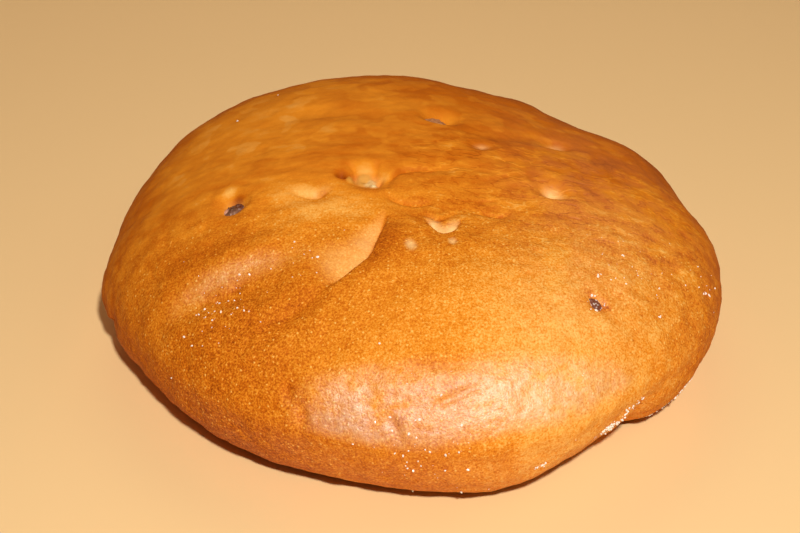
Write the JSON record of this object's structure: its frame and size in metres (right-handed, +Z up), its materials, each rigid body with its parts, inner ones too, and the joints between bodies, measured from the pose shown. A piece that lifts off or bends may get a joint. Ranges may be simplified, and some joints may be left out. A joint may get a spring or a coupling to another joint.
{
  "type": "sweet bread",
  "caption": "Round flat sweet bread, an uneven golden-brown dome with a folded and dimpled crust, raisins showing in pits and coarse sugar stuck to it.",
  "frame": {"origin": "on the surface that the bread rests on, under the middle of its bounding box", "axes": "+Z up, +X to the right and +Y to the back as the picture looks at it"},
  "size_m": [0.1609, 0.1589, 0.0509],
  "materials": {
    "crust": "baked egg-washed crust with a satin sheen, darker at the rim and paler in folds and pits",
    "raisin": "wrinkled dark fruit skin with a dull gloss",
    "sugar": "white crystals, translucent"
  },
  "bodies": {
    "root": {"loaf": "crust", "raisin_left": "raisin", "raisin_right": "raisin", "raisin_back": "raisin"}
  },
  "joints": []
}
